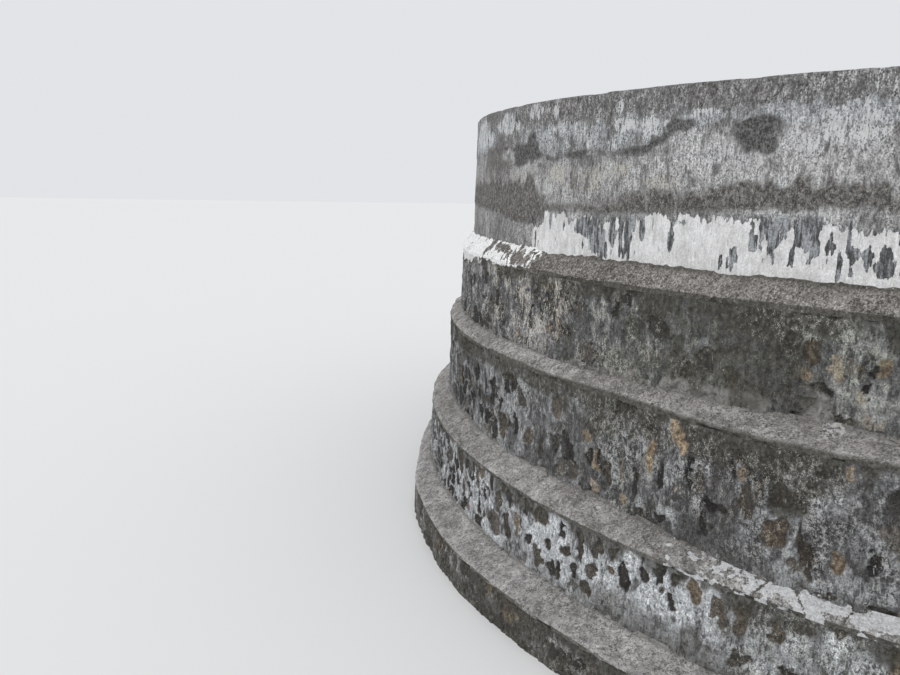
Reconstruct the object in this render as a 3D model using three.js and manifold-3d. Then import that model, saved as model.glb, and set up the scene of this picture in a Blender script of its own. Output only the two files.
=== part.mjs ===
// Round stepped bastion of a river bank, in millimetres, +Z up, resting on z = 0 with the ring's centre at the origin.
// Four tiers of rubble masonry step in one above the other under a tall rendered parapet. A sloping mortar ledge sheds
// water from each step, and a thin coping finishes the parapet. The earth that the ring once held is left out.
import * as THREE from 'three';
import Module from 'manifold-3d';

const wasm = await Module();
wasm.setup();

// Facets round the whole ring, and the gap left between neighbouring blocks
const RING_STEPS = 72;
const GAP = 0.3;

// Radius of the plumb back face of every tier, with the parapet thinner than the tiers that carry it
const COURT_RADIUS = 6920;
const PARAPET_BACK_RADIUS = 7020;

// Levels of the beds on which each tier and its ledge stand
const LOWER_BED = 400;
const MIDDLE_BED = 1285;
const UPPER_BED = 2520;
const PARAPET_BED = 3520;
const COPING_BED = 5125;
const TOP = 5325;

// Outer faces: radius at the foot and at the top of each tier
const FOOTING_FACE = [8508, 8497];
const LOWER_FACE = [8150, 8108];
const MIDDLE_FACE = [7856, 7856];
const UPPER_FACE = [7705, 7687];
const PARAPET_FACE = [7537, 7505];

// Each ledge slopes from the face above it down to a nose over the tier below
const FOOTING_LEDGE = { nose: 465, inner: 573, noseRadius: 8497 };
const LOWER_LEDGE = { nose: 1352, inner: 1513, noseRadius: 8107 };
const MIDDLE_LEDGE = { nose: 2590, inner: 2691, noseRadius: 7856 };
const UPPER_LEDGE = { nose: 3593, inner: 3748, noseRadius: 7686 };
const NOSE_EASE = 12;

// The coping's eased outer edge
const COPING_RADIUS = 7503;
const COPING_EASE = 24;
const COPING_EASE_STEPS = 3;

// Two faces were laid by eye and stray from their circles. Each pair is a turn in degrees and the radial shift there,
// and the opposite side of the ring strays the same way.
const FOOTING_STRAY = [[120, 0], [150, -120], [165, -200], [180, -200], [192, -60], [204, 10], [216, 0]];
const MIDDLE_STRAY = [[204, 0], [216, -20], [222, 70], [228, 150], [231, 160], [240, 100], [255, 0]];

// The lower ledge flattens as the middle tier crowds it: a turn in degrees and the drop of its inner edge there
const LOWER_LEDGE_DROP = [[212, 0], [218, -20], [228, -75], [234, -90], [250, -50], [265, 0]];

// Blocks round the ring, and the turn of the joints from one course to the next
const WALL_BLOCKS = 6;
const LEDGE_BLOCKS = 3;
const JOINT_TURN = { footing: 15, lower: 45, middle: 15, upper: 45, parapet: 15 };
const LEDGE_TURN = { footing: 75.7, lower: 30, middle: 67.1, upper: 10, coping: 50 };
const WEDGE_REACH = 12000;

// A corner of a section, with the tables by which it strays outward and rises on the way round
function point(radius, height, stray = null, rise = null) {
  return { radius, height, stray, rise };
}

// The value of a table at a turn, eased between its entries and nothing outside them
function eased(table, turn) {
  for (let i = 1; i < table.length; i += 1) {
    const [from, low] = table[i - 1];
    const [to, high] = table[i];
    if (turn >= from && turn <= to) {
      return low + (high - low) * THREE.MathUtils.smoothstep(turn, from, to);
    }
  }
  return 0;
}

function onBothSides(table, turn) {
  const half = THREE.MathUtils.euclideanModulo(turn, 180);
  return table ? eased(table, half) + eased(table, half + 180) : 0;
}

// A full ring turned from a closed section, standing along +Z, with the corners that stray moved off their circles
function turnedRing(section) {
  const closed = [...section, section[0]];
  const ring = new THREE.LatheGeometry(closed.map((corner) => new THREE.Vector2(corner.radius, corner.height)), RING_STEPS);
  ring.rotateX(Math.PI / 2);
  const place = ring.getAttribute('position');
  for (let i = 0; i < place.count; i += 1) {
    const corner = closed[i % closed.length];
    const step = Math.floor(i / closed.length) % RING_STEPS;
    const turn = 360 * step / RING_STEPS - 90;
    const scale = 1 + onBothSides(corner.stray, turn) / corner.radius;
    const height = corner.height + onBothSides(corner.rise, turn);
    place.setXYZ(i, place.getX(i) * scale, place.getY(i) * scale, height);
  }
  return ring;
}

// The sector between two joints, drawn back from each joint plane by half a gap
function sectorPrism(startDegrees, spanDegrees) {
  const start = THREE.MathUtils.degToRad(startDegrees);
  const span = THREE.MathUtils.degToRad(spanDegrees);
  const middle = start + span / 2;
  const back = GAP / 2 / Math.sin(span / 2);
  const apex = new THREE.Vector2(back * Math.cos(middle), back * Math.sin(middle));
  const shape = new THREE.Shape();
  shape.moveTo(apex.x, apex.y);
  for (const part of [0, 0.5, 1]) {
    const angle = start + span * part;
    shape.lineTo(apex.x + WEDGE_REACH * Math.cos(angle), apex.y + WEDGE_REACH * Math.sin(angle));
  }
  shape.closePath();
  const prism = new THREE.ExtrudeGeometry(shape, { depth: TOP + 2000, bevelEnabled: false });
  prism.translate(0, 0, -1000);
  return prism;
}

function toSolid(geometry) {
  const bare = geometry.index ? geometry.toNonIndexed() : geometry.clone();
  bare.deleteAttribute('normal');
  bare.deleteAttribute('uv');
  const welded = mergeByPlace(bare);
  const mesh = new wasm.Mesh({
    numProp: 3,
    vertProperties: welded.getAttribute('position').array,
    triVerts: new Uint32Array(welded.index.array),
  });
  mesh.merge();
  const solid = new wasm.Manifold(mesh);
  return solid.volume() < 0 ? flipped(welded) : solid;
}

function flipped(geometry) {
  const order = Array.from(geometry.index.array);
  for (let i = 0; i < order.length; i += 3) {
    [order[i + 1], order[i + 2]] = [order[i + 2], order[i + 1]];
  }
  return new wasm.Manifold(new wasm.Mesh({
    numProp: 3,
    vertProperties: geometry.getAttribute('position').array,
    triVerts: new Uint32Array(order),
  }));
}

// Corners nearer than a hundredth of a millimetre become one, and triangles that collapse go
function mergeByPlace(geometry) {
  const place = geometry.getAttribute('position');
  const seen = new Map();
  const kept = [];
  const order = [];
  for (let i = 0; i < place.count; i += 1) {
    const spot = [place.getX(i), place.getY(i), place.getZ(i)];
    const key = spot.map((value) => Math.round(value * 100)).join(' ');
    if (!seen.has(key)) {
      seen.set(key, kept.length / 3);
      kept.push(...spot);
    }
    order.push(seen.get(key));
  }
  const faces = [];
  for (let i = 0; i < order.length; i += 3) {
    const [a, b, c] = order.slice(i, i + 3);
    if (a !== b && b !== c && a !== c) {
      faces.push(a, b, c);
    }
  }
  const welded = new THREE.BufferGeometry();
  welded.setAttribute('position', new THREE.BufferAttribute(new Float32Array(kept), 3));
  welded.setIndex(faces);
  return welded;
}

function toGeometry(solid) {
  const mesh = solid.getMesh();
  const geometry = new THREE.BufferGeometry();
  const positions = new Float32Array(mesh.numVert * 3);
  for (let i = 0; i < mesh.numVert; i += 1) {
    for (let k = 0; k < 3; k += 1) {
      positions[i * 3 + k] = mesh.vertProperties[i * mesh.numProp + k];
    }
  }
  geometry.setAttribute('position', new THREE.BufferAttribute(positions, 3));
  geometry.setIndex(Array.from(mesh.triVerts));
  return geometry;
}

// A tier of wall: plumb back, flat beds and a slightly battered outer face
function wallSection(wall) {
  const foot = wall.bed === 0 ? 0 : wall.bed + GAP / 2;
  const head = wall.top - GAP / 2;
  return [
    point(wall.back, foot),
    point(wall.face[0], foot, wall.stray),
    point(wall.face[1], head, wall.stray),
    point(wall.back, head),
  ];
}

// A ledge: flat underneath, nosed over the tier below and sloping up to the face above, a gap short of it
function ledgeSection({ shape, above, below, drop }) {
  const { bed, top, face, stray } = above;
  const foot = face[0] + GAP;
  const inner = faceRadiusAt(face, bed, top, shape.inner) + GAP;
  const slope = (shape.inner - shape.nose) / (shape.noseRadius - inner);
  return [
    point(foot, bed + GAP / 2, stray),
    point(shape.noseRadius, bed + GAP / 2, below.stray),
    point(shape.noseRadius, shape.nose - NOSE_EASE, below.stray),
    point(shape.noseRadius - NOSE_EASE, shape.nose + NOSE_EASE * slope, below.stray),
    point(inner, shape.inner, stray, drop),
  ];
}

// The face of a battered tier at a given height
function faceRadiusAt(face, bed, top, height) {
  return face[0] + (face[1] - face[0]) * (height - bed) / (top - bed);
}

function copingSection() {
  const section = [
    point(PARAPET_BACK_RADIUS, COPING_BED + GAP / 2),
    point(COPING_RADIUS, COPING_BED + GAP / 2),
  ];
  for (let i = 0; i <= COPING_EASE_STEPS; i += 1) {
    const turn = (Math.PI / 2) * (i / COPING_EASE_STEPS);
    section.push(point(
      COPING_RADIUS - COPING_EASE * (1 - Math.cos(turn)),
      TOP - COPING_EASE * (1 - Math.sin(turn)),
    ));
  }
  section.push(point(PARAPET_BACK_RADIUS, TOP));
  return section;
}

function finish(colour, roughness) {
  return new THREE.MeshStandardMaterial({ color: colour, roughness, metalness: 0 });
}

const FINISH = {
  rubble: () => finish(0x6f675c, 0.95),
  rubbleDark: () => finish(0x5c5851, 0.95),
  ledgeMortar: () => finish(0x8d8478, 0.92),
  limewash: () => finish(0xd3d2cb, 0.9),
  render: () => finish(0x8f8c84, 0.92),
  coping: () => finish(0x6d675c, 0.93),
};

const bastion = new THREE.Group();
bastion.name = 'round_stepped_bastion';

function addCourse(name, section, blocks, turn, paint) {
  const ring = toSolid(turnedRing(section));
  const span = 360 / blocks;
  for (let i = 0; i < blocks; i += 1) {
    const sector = toSolid(sectorPrism(turn + span * i, span));
    const block = ring.intersect(sector);
    const mesh = new THREE.Mesh(toGeometry(block), paint());
    mesh.name = `${name}_${i + 1}`;
    bastion.add(mesh);
    sector.delete();
    block.delete();
  }
  ring.delete();
}

const footing = {
  name: 'footing_wall', back: COURT_RADIUS, bed: 0, top: LOWER_BED, face: FOOTING_FACE,
  stray: FOOTING_STRAY, turn: JOINT_TURN.footing, paint: FINISH.rubble,
};
const lowerTier = {
  name: 'lower_tier_wall', back: COURT_RADIUS, bed: LOWER_BED, top: MIDDLE_BED, face: LOWER_FACE,
  stray: null, turn: JOINT_TURN.lower, paint: FINISH.rubble,
};
const middleTier = {
  name: 'middle_tier_wall', back: COURT_RADIUS, bed: MIDDLE_BED, top: UPPER_BED, face: MIDDLE_FACE,
  stray: MIDDLE_STRAY, turn: JOINT_TURN.middle, paint: FINISH.rubbleDark,
};
const upperTier = {
  name: 'upper_tier_wall', back: COURT_RADIUS, bed: UPPER_BED, top: PARAPET_BED, face: UPPER_FACE,
  stray: null, turn: JOINT_TURN.upper, paint: FINISH.rubbleDark,
};
const parapet = {
  name: 'parapet_wall', back: PARAPET_BACK_RADIUS, bed: PARAPET_BED, top: COPING_BED, face: PARAPET_FACE,
  stray: null, turn: JOINT_TURN.parapet, paint: FINISH.render,
};

for (const wall of [footing, lowerTier, middleTier, upperTier, parapet]) {
  addCourse(wall.name, wallSection(wall), WALL_BLOCKS, wall.turn, wall.paint);
}

const LEDGES = [
  {
    name: 'footing_ledge', shape: FOOTING_LEDGE, above: lowerTier, below: footing,
    drop: null, turn: LEDGE_TURN.footing, paint: FINISH.ledgeMortar,
  },
  {
    name: 'lower_ledge', shape: LOWER_LEDGE, above: middleTier, below: lowerTier,
    drop: LOWER_LEDGE_DROP, turn: LEDGE_TURN.lower, paint: FINISH.ledgeMortar,
  },
  {
    name: 'middle_ledge', shape: MIDDLE_LEDGE, above: upperTier, below: middleTier,
    drop: null, turn: LEDGE_TURN.middle, paint: FINISH.ledgeMortar,
  },
  {
    name: 'upper_ledge', shape: UPPER_LEDGE, above: parapet, below: upperTier,
    drop: null, turn: LEDGE_TURN.upper, paint: FINISH.limewash,
  },
];

for (const ledge of LEDGES) {
  addCourse(ledge.name, ledgeSection(ledge), LEDGE_BLOCKS, ledge.turn, ledge.paint);
}

addCourse('coping', copingSection(), LEDGE_BLOCKS, LEDGE_TURN.coping, FINISH.coping);

export default bastion;
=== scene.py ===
import math

import bpy
import numpy as np
from mathutils import Matrix, Vector


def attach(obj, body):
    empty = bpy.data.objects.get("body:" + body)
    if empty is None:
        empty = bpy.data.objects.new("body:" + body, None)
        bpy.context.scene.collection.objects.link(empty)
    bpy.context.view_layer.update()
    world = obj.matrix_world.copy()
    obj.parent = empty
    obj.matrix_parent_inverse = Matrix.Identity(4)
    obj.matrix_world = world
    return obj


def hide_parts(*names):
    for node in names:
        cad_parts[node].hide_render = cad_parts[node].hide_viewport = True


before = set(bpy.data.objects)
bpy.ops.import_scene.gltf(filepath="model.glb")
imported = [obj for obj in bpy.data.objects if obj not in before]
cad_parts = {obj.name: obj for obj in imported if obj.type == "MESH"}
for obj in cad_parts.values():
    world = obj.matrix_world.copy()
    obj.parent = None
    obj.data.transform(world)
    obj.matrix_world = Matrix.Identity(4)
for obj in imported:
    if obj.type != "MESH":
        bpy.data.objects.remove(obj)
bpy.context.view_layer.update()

# Camera of the photograph
CAMERA_PLACE = Vector((-7.853, -11.747, 4.48))
CAMERA_PITCH = math.radians(11.106)
CAMERA_ROLL = math.radians(-0.78)
CAMERA_LENS = 32
CAMERA_REACH = 500
SENSOR_WIDTH = 36

# Light of the studio: a pale sky and a soft sun
SKY_COLOUR = (0.95, 0.97, 1, 1)
SKY_STRENGTH = 0.8
SUN_COLOUR = (1, 0.985, 0.96)
SUN_ENERGY = 1.1
SUN_SPREAD = math.radians(50)
SUN_TOWARD = Vector((0.55, 0.55, -0.75))

# Shape shared with the solids
COURT_RADIUS = 6.92
PARAPET_BACK = 7.02
GAP = 0.0003
WALL_BLOCKS = 6
LEDGE_BLOCKS = 3
TOP = 5.325
COPING_BED = 5.125
COPING_RADIUS = 7.503
COPING_EASE = 0.024
COPING_TURN = 50
FULL_TURN = 2 * math.pi

# Shift of two faces from their circles and of one ledge from its slope, at degrees, the same half a turn on
FOOTING_STRAY = {120: 0, 150: -0.12, 165: -0.2, 180: -0.2, 192: -0.06, 204: 0.01, 216: 0}
MIDDLE_STRAY = {204: 0, 216: -0.02, 222: 0.07, 228: 0.15, 231: 0.16, 240: 0.1, 255: 0}
LOWER_LEDGE_DROP = {212: 0, 218: -0.02, 228: -0.075, 234: -0.09, 250: -0.05, 265: 0}

# Bed, top, face radius at the foot and at the top, turn of the first joint,
# height where the face comes into sight, stray
WALLS = {
    "footing_wall": (0, 0.4, 8.508, 8.497, 15, 0, FOOTING_STRAY),
    "lower_tier_wall": (0.4, 1.285, 8.15, 8.108, 45, 0.573, None),
    "middle_tier_wall": (1.285, 2.52, 7.856, 7.856, 15, 1.513, MIDDLE_STRAY),
    "upper_tier_wall": (2.52, 3.52, 7.705, 7.687, 45, 2.691, None),
    "parapet_wall": (3.52, 5.125, 7.537, 7.505, 15, 3.748, None),
}

# Bed, height of the nose and of the inner edge, nose radius, inner radius, turn of the first joint,
# stray of the nose and of the inner edge, drop of the inner edge
LEDGES = {
    "footing_ledge": (0.4, 0.465, 0.573, 8.497, 8.142, 75.7, FOOTING_STRAY, None, None),
    "lower_ledge": (1.285, 1.352, 1.513, 8.107, 7.856, 30, None, MIDDLE_STRAY, LOWER_LEDGE_DROP),
    "middle_ledge": (2.52, 2.59, 2.691, 7.856, 7.702, 67.1, MIDDLE_STRAY, None, None),
    "upper_ledge": (3.52, 3.593, 3.748, 7.686, 7.532, 10, None, None, None),
}

# How far the faces of the tiers run down behind the ledges, and the ledges into the faces above them
FACE_TAIL = 0.12
LEDGE_TAIL = 0.035

# Radius of the rounded nose of the ledges
NOSE_EASE = 0.028

# Width of the open joint between neighbouring lengths of each ledge and of the coping
LEDGE_JOINT = {"footing_ledge": 0.006, "lower_ledge": 0.006, "middle_ledge": 0.022, "upper_ledge": 0.006}
COPING_JOINT = 0.006

# Grid steps along the ring and up the wall, finer on the side that the photograph shows
FINE_FROM = math.radians(173)
FINE_TO = math.radians(234)
FINE_STEP = 0.017
COARSE_STEP = 0.056
BACK_STEP = 0.09

# Lengths closer to each other than this count as one
NEAR = 0.001

# Outline of a spot: 2 gives an ellipse, more gives a blunter shape
SPOT_POWER = 2.5

# How far the middles of the stones stray in their cells
STONE_STRAY = 0.75

# Size of the waves that make the outlines of the stones irregular, and how far they pull
WARP_SIZE = 0.1
WARP_AMOUNT = 0.2

NOISE_SIZE = 64
noise_table = np.random.default_rng(11).random((NOISE_SIZE, NOISE_SIZE, NOISE_SIZE)).astype(np.float32)
CELL_SIZE = 512
cell_table = np.random.default_rng(23).random((8, CELL_SIZE, CELL_SIZE)).astype(np.float32)


def placed(name, data):
    """A new object in the scene."""
    thing = bpy.data.objects.new(name, data)
    bpy.context.scene.collection.objects.link(thing)
    return thing


def add_camera():
    data = bpy.data.cameras.new("camera")
    data.lens = CAMERA_LENS
    data.sensor_width = SENSOR_WIDTH
    data.clip_end = CAMERA_REACH
    camera = placed("camera", data)
    forward = Vector((0, math.cos(CAMERA_PITCH), -math.sin(CAMERA_PITCH)))
    level = Vector((1, 0, 0))
    upright = level.cross(forward)
    right = math.cos(CAMERA_ROLL) * level - math.sin(CAMERA_ROLL) * upright
    up = math.sin(CAMERA_ROLL) * level + math.cos(CAMERA_ROLL) * upright
    turn = Matrix((right, up, -forward)).transposed().to_4x4()
    camera.matrix_world = Matrix.Translation(CAMERA_PLACE) @ turn
    bpy.context.scene.camera = camera


# Shaping helpers: soft steps, lines round the ring and seeded noise on arrays
def soft_step(low, high, value):
    t = np.clip((value - low) / (high - low), 0, 1)
    return t * t * (3 - 2 * t)


def fade(low, high, value):
    return 1 - soft_step(low, high, value)


def between(value, rise_from, rise_to, fall_from, fall_to):
    return soft_step(rise_from, rise_to, value) * fade(fall_from, fall_to, value)


def bell(value):
    return np.exp(-(value**2))


def close_to(distance, width):
    """1 at an edge and behind it, less and less in front of it."""
    return np.exp(-np.clip(distance, 0, None) / width)


def clipped(masks):
    return {key: np.clip(value, 0, 1) for key, value in masks.items()}


def follow(theta, knots):
    """A line along the ring given by degrees and values."""
    return np.interp(np.degrees(theta), list(knots), list(knots.values()))


def eased(table, theta):
    """The value of a table at each angle, eased between its entries, the same half a turn further on."""
    total = np.zeros(np.shape(theta))
    knots = list(table.items()) if table else []
    half = np.mod(np.degrees(theta), 180)
    for turn in (half, half + 180):
        for (start, low), (end, high) in zip(knots[:-1], knots[1:]):
            inside = (turn >= start) & (turn < end)
            total = total + np.where(inside, low + (high - low) * soft_step(start, end, turn), 0)
    return total


def noise(x, y, z):
    """Smooth noise between 0 and 1 at arrays of places."""
    places = np.broadcast_arrays(x, y, z)
    base = [np.floor(v).astype(np.int64) for v in places]
    part = [v - b for v, b in zip(places, base)]
    part = [p * p * (3 - 2 * p) for p in part]
    total = np.zeros(places[0].shape)
    for corner in np.ndindex(2, 2, 2):
        value = noise_table[tuple((b + c) % NOISE_SIZE for b, c in zip(base, corner))]
        for p, c in zip(part, corner):
            value = value * (p if c else 1 - p)
        total += value
    return total


def ring_noise(place, size, seed, octaves=3, upright=1):
    """Noise with features of about size metres, stretched upright. A place is angles, radius and heights."""
    theta, radius, height = place
    x = radius * np.cos(theta) / size + 17.3 * seed + 100
    y = radius * np.sin(theta) / size + 5.1 * seed + 100
    z = height / (size * upright) + 9.7 * seed + 100
    total, weight = 0, 0
    for octave in range(octaves):
        scale = 2**octave
        total = total + noise(x * scale, y * scale, z * scale) / scale
        weight += 1 / scale
    return total / weight


def wave(place, size, seed, octaves=3, upright=1):
    """The same noise about zero."""
    return ring_noise(place, size, seed, octaves, upright) - 0.5


def warped(place, seed):
    """Angles and heights pulled about by noise, so that the outlines drawn on them come out irregular."""
    theta, radius, height = place
    across = WARP_AMOUNT * wave(place, WARP_SIZE, seed)
    along = WARP_AMOUNT * wave(place, WARP_SIZE, seed + 50)
    return theta + across / radius, height + along


def reach_of(theta, height, spot, lean=0):
    """How far each place is from a spot, 1 on its edge. The lean is in degrees per metre down."""
    centre, level, half_width, half_height = spot
    across = np.abs(np.degrees(theta) - centre - lean * (level - height)) / half_width
    along = np.abs(height - level) / half_height
    return (across**SPOT_POWER + along**SPOT_POWER) ** (1 / SPOT_POWER)


def patch(theta, height, spot, soft, rough):
    """A spot, 1 inside and 0 outside, with a soft rim that the rough noise pulls about."""
    return fade(1 - 0.5 * soft, 1 + 0.5 * soft, reach_of(theta, height, spot) + rough)


def stones(theta, height, radius, width, rise, seed):
    """Stones in mortar: how far inside its stone each place is, and two random numbers for each stone."""
    count = int(round(FULL_TURN * radius / width))
    along = (theta / FULL_TURN) * count
    up = height / rise
    row = np.floor(up).astype(np.int64)
    nearest = np.full(along.shape, 9.0)
    second = np.full(along.shape, 9.0)
    tone = np.zeros(along.shape)
    kind = np.zeros(along.shape)
    layer = int(seed) % 2
    for dj in (-1, 0, 1):
        j = row + dj
        offset = 0.5 * (j % 2)
        column = np.floor(along - offset).astype(np.int64)
        for di in (-1, 0, 1):
            i = column + di
            cell = (i % count % CELL_SIZE, j % CELL_SIZE)
            cx = i + offset + 0.5 + STONE_STRAY * (cell_table[layer][cell] - 0.5)
            cz = j + 0.5 + STONE_STRAY * (cell_table[layer + 2][cell] - 0.5)
            far = np.sqrt((along - cx) ** 2 + (up - cz) ** 2)
            closer = far < nearest
            second = np.where(closer, nearest, np.minimum(second, far))
            tone = np.where(closer, cell_table[layer + 4][cell], tone)
            kind = np.where(closer, cell_table[layer + 5][cell], kind)
            nearest = np.where(closer, far, nearest)
    return second - nearest, tone, kind


def cell_noise(value):
    """A second random number drawn from a first one."""
    return np.mod(np.sin(value * 917.3) * 43758.5453, 1)


# Mesh building
def ring_angles(start, span, radius):
    """Angles from joint to joint, closer together on the side that the photograph shows."""
    end = start + span
    cuts = [start]
    for turn in (-FULL_TURN, 0, FULL_TURN):
        cuts += [c + turn for c in (FINE_FROM, FINE_TO) if start + 0.01 < c + turn < end - 0.01]
    cuts = sorted(cuts) + [end]
    angles = []
    for a, b in zip(cuts[:-1], cuts[1:]):
        step = FINE_STEP if FINE_FROM < ((a + b) / 2) % FULL_TURN < FINE_TO else COARSE_STEP
        count = max(2, int(math.ceil((b - a) * radius / step)))
        angles += list(np.linspace(a, b, count, endpoint=False))
    return np.array(angles + [end])


def ring_part(turn, blocks, index, joint, radius):
    """Angles of one length of a ring, as a line and as a column, and whether the photograph shows it."""
    span = FULL_TURN / blocks
    start = math.radians(turn) + span * index
    half = 0.5 * joint / radius
    angles = ring_angles(start + half, span - 2 * half, radius)
    samples = [(start + span * part) % FULL_TURN for part in np.linspace(0.02, 0.98, 25)]
    return angles, np.mod(angles[:, None], FULL_TURN), any(FINE_FROM < s < FINE_TO for s in samples)


def rows(low, high, step):
    count = max(2, int(math.ceil((high - low) / step)))
    return np.linspace(low, high, count + 1)


def rounding(ease, steps):
    """The points between the ends of a rounded edge: share of its turn, way in and way down."""
    for step in range(1, steps):
        angle = step / steps * math.pi / 2
        yield step / steps, ease * (1 - math.cos(angle)), ease * (1 - math.sin(angle))


def swept_piece(name, angles, radius, height, marks, corners):
    """A closed block from section loops, arrays of angle by loop point. Corners are the sharp loop points."""
    across, around = radius.shape
    places = np.empty((across, around, 3))
    places[..., 0] = radius * np.cos(angles)[:, None]
    places[..., 1] = radius * np.sin(angles)[:, None]
    places[..., 2] = height
    a = np.arange(across - 1)[:, None] * around
    p = np.arange(around)[None, :]
    q = (p + 1) % around
    faces = np.stack([a + p, a + around + p, a + around + q, a + q], axis=-1).reshape(-1, 4).tolist()
    faces.append(list(range(around)))
    faces.append([(across - 1) * around + i for i in range(around - 1, -1, -1)])
    mesh = bpy.data.meshes.new(name)
    mesh.from_pydata(places.reshape(-1, 3), [], faces)
    ends = np.empty(2 * len(mesh.edges), dtype=np.int64)
    mesh.edges.foreach_get("vertices", ends)
    ring, place = np.divmod(ends.reshape(-1, 2), around)
    sharp = (place[:, 0] == place[:, 1]) & np.isin(place[:, 0], corners)
    sharp |= (ring[:, 0] == ring[:, 1]) & np.isin(ring[:, 0], [0, across - 1])
    mesh.attributes.new("sharp_edge", "BOOLEAN", "EDGE").data.foreach_set("value", sharp)
    for key, values in marks.items():
        layer = mesh.attributes.new(key, "FLOAT", "POINT")
        layer.data.foreach_set("value", np.broadcast_to(values, radius.shape).astype(np.float32).ravel())
    mesh.update()
    return placed(name, mesh)


def dress(piece, node, material):
    piece.data.materials.append(material)
    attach(piece, "root")
    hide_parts(node)


# Rubble of each tier: size of its stones, half width of the mortar between them, depth behind it and seed.
# Then, at degrees round the ring: share of the stones that the mortar leaves bare, how pale the mortar is,
# how strong the pale runs and the black specks are, and how green the damp has turned the face
RUBBLE = {
    "footing_wall": {
        "width": 0.24, "rise": 0.15, "vein": 0.12, "deep": 0.014, "seed": 2,
        "shown": {0: 0.5, 360: 0.5},
        "lime": {0: 0.3, 90: 0.4, 180: 0.3, 360: 0.3},
        "runs": {0: 0.15, 360: 0.15},
        "specks": {0: 0.45, 360: 0.45},
        "algae": {0: 0.3, 360: 0.3},
    },
    "lower_tier_wall": {
        "width": 0.19, "rise": 0.17, "vein": 0.16, "deep": 0.02, "seed": 5,
        "shown": {0: 0.7, 170: 0.7, 196: 0.75, 203: 0.45, 208: 0.1, 228: 0.1, 236: 0.6, 360: 0.7},
        "lime": {
            0: 0.6, 60: 0.75, 120: 0.55, 170: 0.35, 192: 0.4, 198: 0.62, 204: 0.75, 208: 0.62, 213: 0.78,
            218: 0.55, 221: 0.8, 225: 0.8, 227: 0.35, 234: 0.3, 260: 0.6, 310: 0.7, 360: 0.6,
        },
        "runs": {0: 0.2, 180: 0.15, 360: 0.2},
        "specks": {0: 0.3, 215: 0.32, 222: 0.42, 360: 0.3},
        "algae": {0: 0.1, 215: 0, 230: 0.2, 260: 0.2, 360: 0.1},
    },
    "middle_tier_wall": {
        "width": 0.22, "rise": 0.22, "vein": 0.12, "deep": 0.02, "seed": 8,
        "shown": {0: 0.6, 180: 0.6, 195: 0.35, 210: 0.3, 220: 0.15, 232: 0.15, 245: 0.6, 360: 0.6},
        "lime": {
            0: 0.45, 50: 0.35, 120: 0.5, 185: 0.47, 200: 0.47, 212: 0.38, 219: 0.38, 223: 0.5, 229: 0.4,
            232: 0.54, 250: 0.45, 300: 0.4, 360: 0.45,
        },
        "runs": {
            0: 0.25, 160: 0.15, 200: 0.12, 216: 0.25, 221: 0.6, 225: 0.55, 232: 0.45, 280: 0.25, 360: 0.25,
        },
        "specks": {0: 0.45, 160: 0.25, 205: 0.2, 214: 0.4, 220: 0.55, 232: 0.5, 270: 0.5, 360: 0.4},
        "algae": {0: 0.3, 200: 0, 214: 0.2, 232: 0.2, 260: 0.3, 360: 0.3},
    },
    "upper_tier_wall": {
        "width": 0.21, "rise": 0.21, "vein": 0.14, "deep": 0.018, "seed": 13,
        "shown": {0: 0.5, 170: 0.45, 200: 0.35, 216: 0.3, 228: 0.2, 240: 0.5, 360: 0.5},
        "lime": {
            0: 0.4, 80: 0.5, 160: 0.35, 190: 0.34, 196: 0.4, 206: 0.42, 212: 0.34, 226: 0.24, 231: 0.5,
            250: 0.45, 360: 0.4,
        },
        "runs": {0: 0.5, 170: 0.35, 190: 0.3, 198: 0.75, 209: 0.95, 214: 0.5, 230: 0.45, 360: 0.5},
        "specks": {0: 0.6, 185: 0.45, 198: 0.7, 209: 0.7, 216: 0.35, 228: 0.4, 360: 0.55},
        "algae": {0: 0.2, 190: 0, 208: 0.1, 216: 0.5, 232: 0.55, 260: 0.3, 360: 0.2},
    },
}

# A stone with more ochre than this is a pale slab
SLAB_OCHRE = 0.4

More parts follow.
